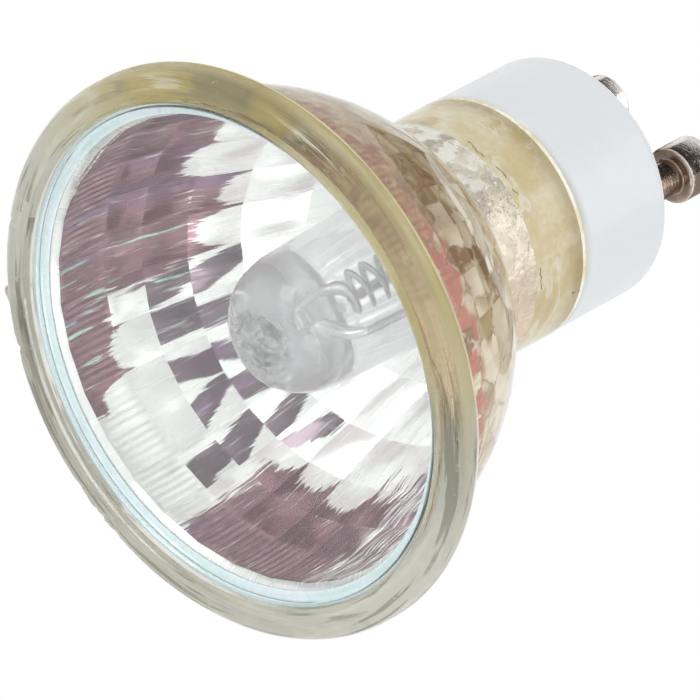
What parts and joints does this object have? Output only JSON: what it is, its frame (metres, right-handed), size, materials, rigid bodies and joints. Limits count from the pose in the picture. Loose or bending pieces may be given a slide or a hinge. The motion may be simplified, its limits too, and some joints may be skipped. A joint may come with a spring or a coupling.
{
  "type": "gu10 spotlight bulb",
  "caption": "Mains halogen reflector lamp with a faceted dichroic glass bowl, flat front cover, quartz capsule, white ceramic base and a pair of headed twist-lock pins.",
  "frame": {"origin": "centre of the front rim's plane, on the lamp axis", "axes": "+Z along the lamp axis from the front rim to the pins, +X from one pin to the other"},
  "size_m": [0.05, 0.05, 0.0543],
  "materials": {
    "reflector_glass": "pressed glass with a dichroic mirror film inside",
    "cover_glass": "clear flat glass",
    "clear_sealant": "cured clear adhesive",
    "quartz_glass": "clear blown quartz",
    "tungsten": "drawn wire",
    "molybdenum": "drawn and rolled metal",
    "lead_wire": "nickel wire",
    "cement": "cast mineral cement",
    "base_ceramic": "unglazed white steatite",
    "nickel_plate": "nickel plated, finely scratched"
  },
  "bodies": {
    "root": {"reflector": "reflector_glass", "cover_glass": "cover_glass", "cover_sealant": "clear_sealant", "capsule_envelope": "quartz_glass", "filament": "tungsten", "inner_lead_left": "molybdenum", "inner_lead_right": "molybdenum", "foil_left": "molybdenum", "foil_right": "molybdenum", "outer_lead_left": "lead_wire", "outer_lead_right": "lead_wire", "capsule_cement": "cement", "base_cement": "cement", "ceramic_base": "base_ceramic", "pin_left": "nickel_plate", "pin_right": "nickel_plate"}
  },
  "joints": []
}
